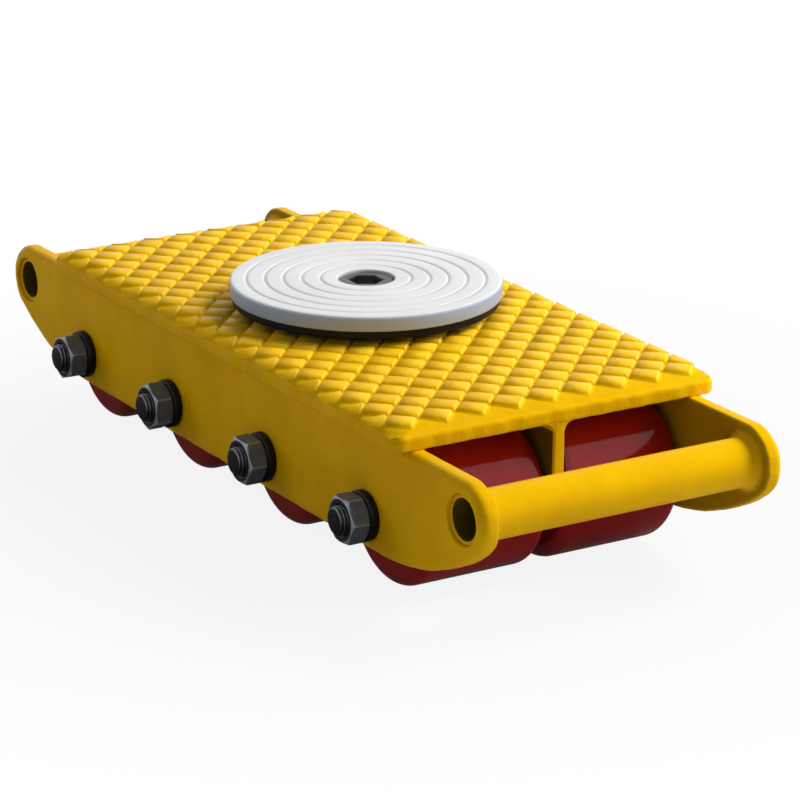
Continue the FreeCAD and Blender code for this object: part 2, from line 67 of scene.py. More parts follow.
PAD_LINES = np.array([0.8, 1.65, 2.7])
PAD_STEEPNESS = 1.75
PAD_CELLS = 16
PAD_LAST_FRONT = 182.0
PAD_LAST_REAR = -192.0
PAD_LAST_ACROSS = 98.0
PAD_FREE_CIRCLE = 50.0
PAD_FADE_RIGHT = (2.6, 6.0)
PAD_FADE_LEFT = (0.2, 2.6)
PAD_FADE_REAR = (0.6, 5.0)
PAD_SEED = 11
PAD_GROW = 0.12
PAD_UNEVEN = 0.04
PAD_LEAN = 0.09
# Painted highlight on the pads' lit flanks and top edges: middle and width in mm of each, and the edges'
# share.
HIGHLIGHT_FLANK = (1.9, 0.9)
HIGHLIGHT_EDGE = (3.2, 0.5)
HIGHLIGHT_EDGE_SHARE = 0.3
# Groove darkening, dirt plus painted shade: the share left undarkened in the narrow grooves, and the
# darkening of the plain deck around the pads.
UNDARKENED_SHARE = 0.75
PLAIN_DARKENING = 0.6
FOOT_RISE = 3.0
SIDE_TUCK = (0.3, 9.0, 7.0)
END_TUCK = (14.0, 14.3, 22.0, 4.0)
SIDE_FOOT_ROUNDS = [0, 1.8, 4.0, 0.5, 0]
END_FOOT_ROUNDS = [0, 1.5, 0.5, 0.5, 0]
FOOT_STEPS = 9
RIM_STEP = 2.0
FAN_STEPS = 12
WAVES = [(0.2, 6.1, 1.0), (0.16, 3.3, 0.4), (0.1, 1.37, 0.0)]
WAVE_DEPTH = 4.0
WAVE_TURN = (1.7, 5.0)
OUTLINE_STEP = 1.6
PLATE_OUT = 92.5
PLATE_IN = 82.0


def smooth(value, low, high):
    """Ramp from 0 at low to 1 at high with level ends: 3t^2 - 2t^3."""
    t = np.clip((value - low) / (high - low), 0, 1)
    return t * t * (3 - 2 * t)


def unit(vectors):
    """Each row scaled to length 1."""
    return vectors / np.maximum(np.linalg.norm(vectors, axis=-1, keepdims=True), 1e-9)


def rounded(corners, radii, steps=7):
    """Closed line through corners, each one replaced by a tangent arc of its radius.

    The arc's centre lies radius / sin(half angle) along the corner's bisector, and its points turn evenly
    from one tangent point to the other.
    """
    corners = np.array(corners, float)
    radii = np.array(radii, float)[:, None]
    back = unit(np.roll(corners, 1, 0) - corners)
    ahead = unit(np.roll(corners, -1, 0) - corners)
    half = np.arccos(np.clip((back * ahead).sum(1, keepdims=True), -1, 1)) / 2
    centre = corners + unit(back + ahead) * radii / np.sin(half)
    start = corners + back * radii / np.tan(half) - centre
    end = corners + ahead * radii / np.tan(half) - centre
    turn = (np.pi - 2 * half)[:, None]
    share = np.linspace(0, 1, steps)[None, :, None]
    arc = np.sin((1 - share) * turn) * start[:, None] + np.sin(share * turn) * end[:, None]
    return (centre[:, None] + arc / np.sin(turn)).reshape(-1, 2)


def arc(centre, radius, start, end, step=OUTLINE_STEP):
    """Points round a centre from one angle to another, in radians, about one step apart."""
    count = int(np.ceil(abs(end - start) * radius / step)) + 2
    angle = np.linspace(start, end, count)
    return np.array(centre) + radius * np.stack((np.cos(angle), np.sin(angle)), axis=1)


def grid_faces(rows, columns, close_rows=False, close_columns=False):
    """Corner numbers of the four-sided cells of a grid, joined end to start where closed."""
    index = np.arange(rows * columns).reshape(rows, columns)
    if close_rows:
        index = np.vstack((index, index[:1]))
    if close_columns:
        index = np.hstack((index, index[:, :1]))
    corners = (index[:-1, :-1], index[1:, :-1], index[1:, 1:], index[:-1, 1:])
    return np.stack(corners, axis=-1).reshape(-1, 4)


def new_piece(name, patches, material, body, nodes, turn_out=True, values=None):
    """Mesh object from patches of (points, faces, smooth shading), welded where their edges meet."""
    points = np.vstack([p for p, f, s in patches]) * MM
    starts = np.cumsum([0] + [len(p) for p, f, s in patches])
    faces = [face for (p, f, s), start in zip(patches, starts) for face in (np.asarray(f) + start).tolist()]
    shading = np.concatenate([np.full(len(f), s) for p, f, s in patches])
    mesh = bpy.data.meshes.new(name)
    mesh.from_pydata(points, [], faces)
    mesh.polygons.foreach_set("use_smooth", shading)
    for key, value in (values or {}).items():
        mesh.attributes.new(key, "FLOAT", "POINT").data.foreach_set("value", value.ravel())
    work = bmesh.new()
    work.from_mesh(mesh)
    bmesh.ops.remove_doubles(work, verts=work.verts, dist=1e-7)
    loose = [v for v in work.verts if not v.link_faces]
    bmesh.ops.delete(work, geom=loose, context="VERTS")
    if turn_out:
        bmesh.ops.recalc_face_normals(work, faces=work.faces)
    work.to_mesh(mesh)
    work.free()
    piece = bpy.data.objects.new(name, mesh)
    bpy.context.scene.collection.objects.link(piece)
    mesh.materials.append(material)
    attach(piece, body)
    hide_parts(*nodes)
    return piece


class Shader:
    """Small helper that adds and links the nodes of one material."""

    def __init__(self, name, **sockets):
        self.material = bpy.data.materials.new(name)
        self.material.use_nodes = True
        self.tree = self.material.node_tree
        self.bsdf = self.tree.nodes["Principled BSDF"]
        for socket, value in sockets.items():
            self.bsdf.inputs[socket.replace("_", " ")].default_value = value
        self.place = self.add("ShaderNodeTexCoord").outputs["Object"]

    def add(self, kind, inputs=None, **settings):
        """New node with its settings, and its inputs given as values or linked from sockets."""
        node = self.tree.nodes.new(kind)
        for key, value in settings.items():
            setattr(node, key, value)
        for key, value in (inputs or {}).items():
            if isinstance(value, bpy.types.NodeSocket):
                self.tree.links.new(value, node.inputs[key])
            else:
                node.inputs[key].default_value = value
        return node

    def noise(self, scale, detail=3.0, rough=0.55, stretch=(1, 1, 1)):
        """Soft noise on object coordinates; scale is in cells per metre."""
        spread = self.add("ShaderNodeMapping", {"Vector": self.place, "Scale": stretch})
        inputs = {"Vector": spread.outputs[0], "Scale": scale, "Detail": detail, "Roughness": rough}
        return self.add("ShaderNodeTexNoise", inputs).outputs["Fac"]

    def ramp(self, factor, *stops):
        """Colour ramp through (position, colour) stops."""
        node = self.add("ShaderNodeValToRGB", {"Fac": factor})
        for position, colour in stops[2:]:
            node.color_ramp.elements.new(position)
        for element, (position, colour) in zip(node.color_ramp.elements, stops):
            element.position = position
            element.color = (*colour, 1)
        return node.outputs["Color"]

    def span(self, factor, low, high, out_low=0.0, out_high=1.0):
        """Value stretched from one range to another and held at its ends."""
        inputs = {"Value": factor, "From Min": low, "From Max": high, "To Min": out_low, "To Max": out_high}
        return self.add("ShaderNodeMapRange", inputs).outputs["Result"]

    def mix(self, factor, first, second, blend="MIX"):
        """Two colours mixed by a factor."""
        node = self.add("ShaderNodeMix", data_type="RGBA", blend_type=blend)
        for place, value in ((0, factor), (6, first), (7, second)):
            if isinstance(value, bpy.types.NodeSocket):
                self.tree.links.new(value, node.inputs[place])
            else:
                node.inputs[place].default_value = value if place == 0 else (*value, 1)
        return node.outputs[2]

    def value(self, key):
        """The mesh's own point value of that name."""
        return self.add("ShaderNodeAttribute", attribute_name=key).outputs["Fac"]

    def bump(self, height, distance, strength=1.0, under=None):
        """Surface relief of a height field, in metres, on top of another relief."""
        inputs = {"Height": height, "Distance": distance, "Strength": strength}
        if under is not None:
            inputs["Normal"] = under
        return self.add("ShaderNodeBump", inputs).outputs["Normal"]

    def finish(self, **links):
        """Links sockets to the shader and returns the material."""
        for socket, value in links.items():
            self.tree.links.new(value, self.bsdf.inputs[socket.replace("_", " ")])
        return self.material


def enamel(name, with_grooves=False, with_inside_shade=False, grain=1.0, sheen=0.08):
    """Thick yellow enamel on a sand casting: uneven tone, sand grain under the paint, dirt plus painted shade
    in the grooves, a painted highlight on the pads' lit flanks and edges, and painted shade on inside faces
    and in bores."""
    paint = Shader(name, IOR=1.4, Specular_IOR_Level=sheen)
    tone = paint.ramp(
        paint.noise(28, 5),
        (0.32, (0.86, 0.47, 0.001)),
        (0.55, (0.93, 0.52, 0.001)),
        (0.72, (0.97, 0.56, 0.002)),
    )
    specks = paint.span(paint.noise(700, 2, 0.7), 0.62, 0.78)
    tone = paint.mix(paint.span(specks, 0, 1, 0, 0.18), tone, (0.52, 0.26, 0.001))
    if with_grooves:
        # Darker in the grooves, most in the wider ones: dirt plus painted shade.
        held = paint.span(paint.noise(55, 3), 0.35, 0.7, 0.2, 0.45)
        depth = paint.add("ShaderNodeMath", {0: paint.value("groove"), 1: held}, operation="MULTIPLY")
        tone = paint.mix(depth.outputs[0], tone, (0.60, 0.37, 0.001))
        # Painted highlight on the pads' lit flanks and top edges.
        tone = paint.mix(paint.span(paint.value("crest"), 0, 1, 0, 0.7), tone, (1.0, 0.70, 0.05))
    # Painted shade on inside faces and in bores.
    if with_inside_shade:
        tone = paint.mix(paint.value("inside_shade"), tone, (0.11, 0.085, 0.004))
    relief = paint.bump(paint.noise(110, 4), 0.0009, 0.6 * grain)
    relief = paint.bump(paint.noise(600, 3, 0.6), 0.0002, 0.6, relief)
    gloss = paint.span(paint.noise(90, 4), 0.3, 0.7, 0.32, 0.5)
    if with_grooves:
        dull = paint.span(paint.value("groove"), 0, 1, 0, 0.5)
        gloss = paint.add("ShaderNodeMath", {0: gloss, 1: dull}, operation="ADD").outputs[0]
    return paint.finish(Base_Color=tone, Roughness=gloss, Normal=relief)


def deck_level(x, y):
    """Height of the deck between its pads: level, bent down by a smooth ramp towards both ends, and along a
    circle of the roll's radius at the sides and ends; the right side is rolled wider."""
    height = DECK_FLOOR - END_DROP * smooth(np.abs(x), *END_SLOPE)
    side_roll = np.where(y < 0, RIGHT_ROLL, SIDE_ROLL)
    for distance, half, roll in ((x, DECK_HALF[0], END_ROLL), (y, DECK_HALF[1], side_roll)):
        into_roll = np.clip(np.abs(distance) - (half - roll), 0, roll)
        height = height - roll + np.sqrt(roll ** 2 - into_roll ** 2)
    return height


def waviness(along):
    """Unevenness of a sand-cast edge: the sum of three waves along it, size * sin(along / length + start), a
    tenth to a fifth of a millimetre each."""
    return sum(size * np.sin(along / length + start) for size, length, start in WAVES)


def tread():
    """Top of the deck: a sheet ruled along the pads' two diagonals and trimmed to a rounded rectangle.

    Each pad is the product of two smooth ramps of the distances to the middles of its nearest grooves, and
    fades out at the sheet's edge. Across one diagonal the grooves are narrower, steeper and only part as
    deep. The groove value marks dirt plus painted shade, most in the wider grooves, and the crest value a
    painted highlight on one flank of each narrow groove and on the pads' top edges.
    """
    pitch = 2 * PAD_ALONG * PAD_ACROSS / np.hypot(PAD_ALONG, PAD_ACROSS)
    lattice = []
    for lines in (PAD_LINES / PAD_STEEPNESS, PAD_LINES):
        cell = np.concatenate((lines, pitch - lines[::-1])) / pitch
        lattice.append((np.arange(-PAD_CELLS, PAD_CELLS)[:, None] - 0.5 + cell[None, :]).ravel())
    u, v = np.meshgrid(*lattice)
    flat = np.stack((PAD_ALONG * (u + v), PAD_ACROSS * (u - v)), axis=-1)
    core = np.clip(flat, -DECK_CORE, DECK_CORE)
    beyond = np.linalg.norm(flat - core, axis=-1)
    plan = core + (flat - core) * np.minimum(1, SHEET_REACH / np.maximum(beyond, 1e-9))[..., None]

    rng = np.random.default_rng(PAD_SEED)
    count = 2 * PAD_CELLS + 1
    column = np.round(u).astype(int)
    row = np.round(v).astype(int)
    pad = (column + PAD_CELLS, row + PAD_CELLS)
    centre_x = PAD_ALONG * (column + row)
    centre_y = PAD_ACROSS * (column - row)
    present = (centre_x < PAD_LAST_FRONT) & (centre_x > PAD_LAST_REAR)
    present &= np.abs(centre_y) < PAD_LAST_ACROSS
    present &= np.hypot(centre_x, centre_y) > PAD_FREE_CIRCLE
    grow = rng.normal(0, PAD_GROW, (count, count))[pad]
    to_u = ((0.5 - np.abs(u - column)) * pitch + grow) * PAD_STEEPNESS
    to_v = (0.5 - np.abs(v - row)) * pitch + grow
    rise_u = smooth(to_u, *PAD_FLANK)
    rise_v = smooth(to_v, *PAD_FLANK)
    crown = (1 - PAD_DIP + PAD_DIP * rise_u) * rise_v
    tall = 1 + rng.normal(0, PAD_UNEVEN, (count, count))[pad]
    lean = rng.normal(0, PAD_LEAN, (2, count, count))[:, pad[0], pad[1]]
    tall = tall + lean[0] * (u - column) + lean[1] * (v - row)
    room = DECK_HALF[1] - np.abs(plan[..., 1])
    fade = np.where(plan[..., 1] < 0, smooth(room, *PAD_FADE_RIGHT), smooth(room, *PAD_FADE_LEFT))
    fade = fade * smooth(plan[..., 0] + DECK_HALF[0], *PAD_FADE_REAR)
    height = deck_level(plan[..., 0], plan[..., 1]) + PAD_HEIGHT * present * crown * fade * tall

    points = np.dstack((plan, height)).reshape(-1, 3)
    faces = grid_faces(*u.shape)
    faces = faces[(beyond.ravel()[faces] < SHEET_REACH).any(axis=1)]
    # Painted highlight: one flank of each narrow groove, and the pads' top edges along the wider grooves.
    flank = np.exp(-((to_u - HIGHLIGHT_FLANK[0]) / HIGHLIGHT_FLANK[1]) ** 2) * (u > column)
    edge = np.exp(-((to_v - HIGHLIGHT_EDGE[0]) / HIGHLIGHT_EDGE[1]) ** 2)
    on_pads = present * fade
    crest = on_pads * rise_v * np.maximum(flank, HIGHLIGHT_EDGE_SHARE * edge)
    # Dirt plus painted shade: most in the wider grooves, less in the narrow ones, and some on the plain deck.
    undarkened = rise_v * (UNDARKENED_SHARE + (1 - UNDARKENED_SHARE) * rise_u)
    groove = on_pads * (1 - undarkened) + PLAIN_DARKENING * (1 - on_pads)
    return (points, faces, True), {"groove": groove, "crest": crest}


def rim():
    """Edge of the deck: a section carried round the core rectangle, fanned round its corners.

    The section passes from the rolled side to the sloped end with the square of the direction's Y. A point
    at a positive distance moves outwards, and at a negative one inwards along both sides. The top row lies
    on the deck's own level, and the rows below take up the difference by a falling share.
    """
    wall = DECK_CORNER - (DECK_HALF[1] - PLATE_OUT)
    foot_top = DECK_UNDERSIDE + FOOT_RISE
    foot = [(DECK_CORNER, foot_top), (DECK_CORNER, DECK_UNDERSIDE)]
    near, far, drop = SIDE_TUCK
    tuck_z = DECK_UNDERSIDE - drop
    side_foot = [(wall, DECK_UNDERSIDE), (wall - near, tuck_z), (wall - far, tuck_z)]
    start, near, far, climb = END_TUCK
    tuck_z = DECK_UNDERSIDE + climb
    end_foot = [(-start, DECK_UNDERSIDE), (-near, tuck_z), (-far, tuck_z)]
    lines = []
    for roll, top, below, radii in (
        (SIDE_ROLL, DECK_FLOOR, side_foot, SIDE_FOOT_ROUNDS),
        (END_ROLL, DECK_FLOOR - END_DROP, end_foot, END_FOOT_ROUNDS),
    ):
        turn = np.linspace(np.arccos((SHEET_REACH - DECK_CORNER + roll) / roll), 0, FOOT_STEPS)
        middle = np.array([DECK_CORNER - roll, top - roll])
        bend = middle + roll * np.stack((np.cos(turn), np.sin(turn)), axis=1)
        down = rounded(foot + below, radii, FOOT_STEPS)[FOOT_STEPS - 1:1 - FOOT_STEPS]
        lines.append(np.vstack((bend, down)))
    side_line, end_line = lines

    straight = [np.linspace(-1, 1, int(2 * half / RIM_STEP)) * half for half in DECK_CORE]
    fan = np.linspace(0, np.pi / 2, FAN_STEPS)
    seats = []
    ways = []
    for turn in range(4):
        along, across = (1, 0) if turn % 2 == 0 else (0, 1)
        face = np.array([[1, 0], [0, 1], [-1, 0], [0, -1]])[turn]
        run = np.zeros((len(straight[along]), 2))
        run[:, along] = straight[along] * (1 if turn in (0, 3) else -1)
        run[:, across] = face[across] * DECK_CORE[across]
        seats += [run, np.repeat(run[-1:], len(fan), axis=0)]
        angle = turn * np.pi / 2 + fan
        ways.append(np.repeat(face[None].astype(float), len(run), axis=0))
        ways.append(np.stack((np.cos(angle), np.sin(angle)), axis=1))
    seat = np.vstack(seats)[:, None]
    way = np.vstack(ways)[:, None]
    share = way[..., 1] ** 2
    out = share * side_line[None, :, 0] + (1 - share) * end_line[None, :, 0]
    height = share * side_line[None, :, 1] + (1 - share) * end_line[None, :, 1]
    low = np.clip((DECK_FLOOR - height) / WAVE_DEPTH, 0, 1)
    around = seat[..., 0] + WAVE_TURN[0] * seat[..., 1]
    around = around + WAVE_TURN[1] * np.arctan2(way[..., 1], way[..., 0])
    out = out + low * waviness(around) * (out > SHEET_REACH)
    inward = np.minimum(np.stack((end_line[:, 0], side_line[:, 0]), axis=1), 0)[None]
    plan = np.clip(seat, -DECK_CORE - inward, DECK_CORE + inward) + way * np.maximum(out, 0)[..., None]
    gap = deck_level(plan[:, :1, 0], plan[:, :1, 1]) - height[:, :1]
    height = height + gap * np.clip((height - foot_top) / (height[:, :1] - foot_top), 0, 1)
    grid = np.dstack((plan, height))
    return grid.reshape(-1, 3), grid_faces(*grid.shape[:2], close_rows=True), True


yellow_tread = enamel("yellow_enamel_tread", with_grooves=True, grain=1.6, sheen=0.14)
yellow_plain = enamel("yellow_enamel", grain=1.7)
yellow_walls = enamel("yellow_enamel_walls", with_inside_shade=True)
patch, pad_values = tread()
new_piece("deck", [patch], yellow_tread, "frame", ["frame_casting"], False, pad_values)
new_piece("deck_rim", [rim()], yellow_plain, "frame", ["frame_casting"])

UNDER_HALF = (DECK_HALF[0] - 3.0, PLATE_OUT - 1.0)
UNDER_CELLS = (40, 20)
UNDER_Z = DECK_UNDERSIDE + 0.03
under_x, under_y = np.meshgrid(*(np.linspace(-1, 1, n) * half for n, half in zip(UNDER_CELLS, UNDER_HALF)))
under = np.dstack((under_x, under_y, np.full_like(under_x, UNDER_Z))).reshape(-1, 3)
patch = (under, grid_faces(*under_x.shape)[:, ::-1], False)
new_piece("deck_underside", [patch], yellow_plain, "frame", ["frame_casting"], False)


# Side plates: the casting's two long walls, straight below, swept up to round ears with wide soft rims.
# The ears are bored for the cross tubes, the deck flows down into the plates' top edges, and the inside faces
# carry painted shade.
PLATE_BOTTOM = 21.5
EAR_X = 244.5
EAR_RADIUS = 20.5
EAR_Z = DECK_UNDERSIDE - EAR_RADIUS
SWEEP_RADIUS = 160.0
PLATE_SHOULDER = DECK_HALF[0] - 2.0
PLATE_ROUND_OUT = 5.0
PLATE_ROUND_IN = 2.0
EAR_FILLET = 2.0
EAR_LIP = 14.5
LIP_DEPTH = 8.5
LIP_GAP = 0.25
TUBE_SINK = 1.2
# Painted shade on the plates' inside faces and the tubes' beads, as a share.
INSIDE_SHADE = 0.58
TUBE_RADIUS = 13.25
ROUND_SEGMENTS = 96


def evenly(line, step):
    """Closed line resampled at even steps along its length."""
    line = np.vstack((line, line[:1]))
    length = np.concatenate(([0], np.cumsum(np.linalg.norm(np.diff(line, axis=0), axis=1))))
    at = np.linspace(0, length[-1], int(length[-1] / step), endpoint=False)
    return np.stack([np.interp(at, length, line[:, i]) for i in (0, 1)], axis=1)


def slab(outline, low, high, round_low, round_high, holes=((), ())):
    """Flat plate between two Y planes with a rounded rim: the outline moves inwards by r(1 - cos a) as the
    rim turns through a towards each face, and the high and the low face are filled round their holes."""
    step = np.roll(outline, -1, 0) - np.roll(outline, 1, 0)
    normal = unit(np.stack((step[:, 1], -step[:, 0]), axis=1))
    turn = np.linspace(0, np.pi / 2, 9)
    inset = np.concatenate((round_high * (1 - np.cos(turn[::-1])), round_low * (1 - np.cos(turn))))
    across = high - round_high * (1 - np.sin(turn[::-1]))
    across = np.concatenate((across, low + round_low * (1 - np.sin(turn))))
    rim = outline[:, None] - normal[:, None] * inset[None, :, None]
    grid = np.dstack((rim[..., 0], np.broadcast_to(across, rim.shape[:2]), rim[..., 1]))
    patches = [(grid.reshape(-1, 3), grid_faces(*grid.shape[:2], close_rows=True), True)]
    for column, loops in zip((0, -1), holes):
        edges = [grid[:, column]] + list(loops)
        fill = tessellate_polygon([[Vector(p) for p in edge] for edge in edges])
        patches.append((np.vstack(edges), fill, False))
    return patches


def turned(profile, segments=ROUND_SEGMENTS, axis="Y", centre=(0.0, 0.0), closed=True):
    """Surface of revolution: each profile point (radius, along) is carried round the axis in even steps."""
    angle = np.linspace(0, 2 * np.pi, segments, endpoint=False)[:, None]
    first = centre[0] + profile[None, :, 0] * np.cos(angle)
    second = centre[1] + profile[None, :, 0] * np.sin(angle)
    along = np.broadcast_to(profile[None, :, 1], first.shape)
    grid = np.dstack((first, along, second) if axis == "Y" else (first, second, along))
    return grid.reshape(-1, 3), grid_faces(*first.shape, close_rows=True, close_columns=closed), True


def mirrored(patches):
    """Patches reflected to the other side of the skate."""
    return [(p * np.array([1, -1, 1]), f, s) for p, f, s in patches]


def plate_outline():
    """Side plate in X and Z, counter-clockwise: bottom, sweep, ear, level top and the rise into the deck."""
    sweep_z = PLATE_BOTTOM + SWEEP_RADIUS
    rise = sweep_z - EAR_Z
    sweep_x = EAR_X - np.sqrt((SWEEP_RADIUS - EAR_RADIUS) ** 2 - rise ** 2)
    lean = np.arctan2(rise, EAR_X - sweep_x)
    front = [
        arc((sweep_x, sweep_z), SWEEP_RADIUS, -np.pi / 2, -lean),
        arc((EAR_X, EAR_Z), EAR_RADIUS, -lean, np.pi / 2),
        arc((PLATE_SHOULDER + EAR_FILLET, DECK_UNDERSIDE + EAR_FILLET), EAR_FILLET, -np.pi / 2, -np.pi),
    ]
    front = np.vstack(front)
    line = evenly(np.vstack((front, front[::-1] * np.array([-1, 1]))), OUTLINE_STEP)
    return line + unit(line - np.array([0, EAR_Z])) * waviness(OUTLINE_STEP * np.arange(len(line)))[:, None]


ear_holes = []
tube_holes = []
ear_lips = []
lip_in = TUBE_RADIUS + LIP_GAP
lip_floor = PLATE_OUT - LIP_DEPTH
lip_corners = [(EAR_LIP, PLATE_OUT), (lip_in, PLATE_OUT), (lip_in, lip_floor), (EAR_LIP, lip_floor)]
lip_line = rounded(lip_corners, [0, EAR_LIP - lip_in - 0.05, 0, 0], 9)[8:20]
for ear_x in (EAR_X, -EAR_X):
    lip = turned(lip_line, centre=(ear_x, EAR_Z), closed=False)
    ear_lips.append(lip)
    ear_holes.append(lip[0].reshape(ROUND_SEGMENTS, -1, 3)[:, 0])
    in_tube_wall = np.array([(TUBE_RADIUS - TUBE_SINK, PLATE_IN)])
    tube_holes.append(turned(in_tube_wall, centre=(ear_x, EAR_Z), closed=False)[0])
left_plate = slab(
    plate_outline(), PLATE_IN, PLATE_OUT, PLATE_ROUND_IN, PLATE_ROUND_OUT, (ear_holes, tube_holes)
) + ear_lips
for side_name, plate in (("left", left_plate), ("right", mirrored(left_plate))):
    depth = np.abs(np.vstack([points for points, faces, shading in plate])[:, 1])
    # Painted shade on the plate's inside face.
    inside_shade = {"inside_shade": INSIDE_SHADE * (1 - smooth(depth, PLATE_IN, PLATE_IN + PLATE_ROUND_IN))}
    new_piece(
        f"side_plate_{side_name}", plate, yellow_walls, "frame", ["frame_casting"], True, inside_shade
    )


# Centre rib and pivot boss: the casting's middle wall between the two rows of rollers, filleted to the deck,
# and the thick round boss under the deck that the pivot screw is fixed in.
RIB_HALF = 3.5
RIB_END = DECK_HALF[0] - 0.4
RIB_NOSE = 38.0
RIB_UNDERCUT = 32.0
RIB_FILLET = 4.5
RIB_ROUND = 1.4
RIB_CORNERS = [6, 4, 0, 0, 4, 6]
# Painted shade on both faces of the rib, as a share.
RIB_SHADE = 0.95
FILLET_ENDS = (-RIB_END + 0.6, RIB_END - 0.2)
FILLET_SUNK = 1.0
BOSS_RADIUS = 22.0
BOSS_LOW = 77.0
LAND_RADIUS = 44.0
LAND_Z = 97.7
BOSS_ROOT = 90.0
BOSS_FLARE = 6.0
BOSS_ROUNDS = [0, 2.5, 4, 0, 0]
LAND_ROOT = 95.0
LAND_ROUNDS = [0, 0.5, 0, 0]
rib_corners = [(RIB_END - RIB_UNDERCUT, PLATE_BOTTOM), (RIB_END, DECK_UNDERSIDE - RIB_NOSE)]
rib_corners += [(RIB_END, DECK_UNDERSIDE + FOOT_RISE)]
rib_corners += [(-x, z) for x, z in reversed(rib_corners)]
rib_outline = evenly(rounded(rib_corners, RIB_CORNERS), OUTLINE_STEP)
rib = slab(rib_outline, -RIB_HALF, RIB_HALF, RIB_ROUND, RIB_ROUND)
depth = np.abs(np.vstack([points for points, faces, shading in rib])[:, 1])
# Painted shade on both faces of the rib.
inside_shade = {"inside_shade": RIB_SHADE * (depth > RIB_HALF - 0.01)}
new_piece("centre_rib", rib, yellow_walls, "frame", ["frame_casting"], True, inside_shade)


def fillet_bar():
    """Concave fillet between rib and deck: a quarter hollow and its corner, carried along X."""
    out = RIB_HALF + RIB_FILLET
    low = DECK_UNDERSIDE - RIB_FILLET
    hollow = arc((out, low), RIB_FILLET, np.pi / 2, np.pi, 0.8)
    sunk_y = RIB_HALF - FILLET_SUNK
    sunk_z = DECK_UNDERSIDE + FILLET_SUNK
    section = np.vstack((hollow, [(sunk_y, low), (sunk_y, sunk_z), (out, sunk_z)]))
    ends = [np.insert(section, 0, x, axis=1) for x in FILLET_ENDS]
    sides = np.stack(ends, axis=0)
    patches = [(sides.reshape(-1, 3), grid_faces(2, len(section), close_columns=True), True)]
    fill = tessellate_polygon([[Vector((0, *p)) for p in section]])
    return patches + [(end, fill, False) for end in ends]


fillets = fillet_bar() + mirrored(fillet_bar())
new_piece("rib_fillets", fillets, yellow_plain, "frame", ["frame_casting"])
boss_corners = [(0, BOSS_LOW), (BOSS_RADIUS, BOSS_LOW), (BOSS_RADIUS, DECK_UNDERSIDE)]
boss_corners += [(BOSS_RADIUS + BOSS_FLARE, BOSS_ROOT), (0, BOSS_ROOT)]
boss_line = rounded(boss_corners, BOSS_ROUNDS)
land_corners = [(0, LAND_Z), (LAND_RADIUS, LAND_Z), (LAND_RADIUS, LAND_ROOT), (0, LAND_ROOT)]
land_line = rounded(land_corners, LAND_ROUNDS)
bosses = [turned(boss_line, axis="Z"), turned(land_line, axis="Z")]
new_piece("pivot_boss", bosses, yellow_plain, "frame", ["frame_casting"])


# Cross tubes: steel pipe across each pair of ears, close to the three-quarter-inch size, sunk in the ear
# holes, run in with a soft bead on the inside, painted with the casting, with painted shade in its bore and
# on the bead.
TUBE_BORE = 10.75
TUBE_END = 90.5
TUBE_BEAD = 4.5
TUBE_ROUND = 0.9
BEAD_RUN = 0.2
BORE_EDGE = 0.8
BORE_FADE = 0.7
bead = arc((TUBE_RADIUS + TUBE_BEAD, PLATE_IN - TUBE_BEAD), TUBE_BEAD, np.pi, np.pi / 2, 0.6)
end_y = TUBE_END - TUBE_ROUND
outer_edge = arc((TUBE_RADIUS - TUBE_ROUND, end_y), TUBE_ROUND, 0, np.pi / 2, 0.3)
inner_edge = arc((TUBE_BORE + TUBE_ROUND, end_y), TUBE_ROUND, np.pi / 2, np.pi, 0.3)
half_tube = np.vstack((bead, [(TUBE_RADIUS, PLATE_IN + BEAD_RUN)], outer_edge, inner_edge))
tube_line = np.vstack((half_tube, half_tube[::-1] * np.array([1, -1])))
# Painted shade in the tube's bore and on its beads.
in_bore = smooth(TUBE_BORE + BORE_EDGE - tube_line[:, 0], 0, BORE_FADE)
on_bead = smooth(tube_line[:, 0], TUBE_RADIUS, TUBE_RADIUS + TUBE_BEAD)
inside_shade = {"inside_shade": np.tile(in_bore + INSIDE_SHADE * on_bead, ROUND_SEGMENTS)}
yellow_tube = enamel("yellow_enamel_tube", with_inside_shade=True, grain=0.3)
for node, tube_x in (("front_cross_tube", EAR_X), ("rear_cross_tube", -EAR_X)):
    tube = turned(tube_line, centre=(tube_x, EAR_Z))
    new_piece(node + "_painted", [tube], yellow_tube, "frame", [node], True, inside_shade)


# Rollers: deep red polyurethane cast on steel cores and turned to a mirror gloss, with full round shoulders;
# two run side by side on each axle.
AXLE_X = [154.5, 47.5, -59.5, -166.5]
AXLE_Z = 41.0
ROLLER_RADIUS = 41.0
ROLLER_IN = 4.75
ROLLER_OUT = 79.75
CORE_RADIUS = 26.0
ROLLER_SHOULDER = 7.5
ROLLER_SEGMENTS = 128
ROLLER_STEPS = 14
CORE_EDGE = 0.2
TYRE_ROUNDS = [CORE_EDGE, ROLLER_SHOULDER, ROLLER_SHOULDER, CORE_EDGE]


def urethane():
    """Glossy cast polyurethane: deep red with faint cloudiness and fine turning marks round the roller."""
    skin = Shader("red_urethane", IOR=1.41)
    tone = skin.ramp(skin.noise(22, 4), (0.3, (0.26, 0.005, 0.004)), (0.7, (0.36, 0.008, 0.006)))
    marks = skin.bump(skin.noise(900, 2, 0.5, (0.05, 1, 0.05)), 0.00004, 0.35)
    gloss = skin.span(skin.noise(60, 4), 0.3, 0.7, 0.05, 0.11)
    return skin.finish(Base_Color=tone, Roughness=gloss, Normal=marks)


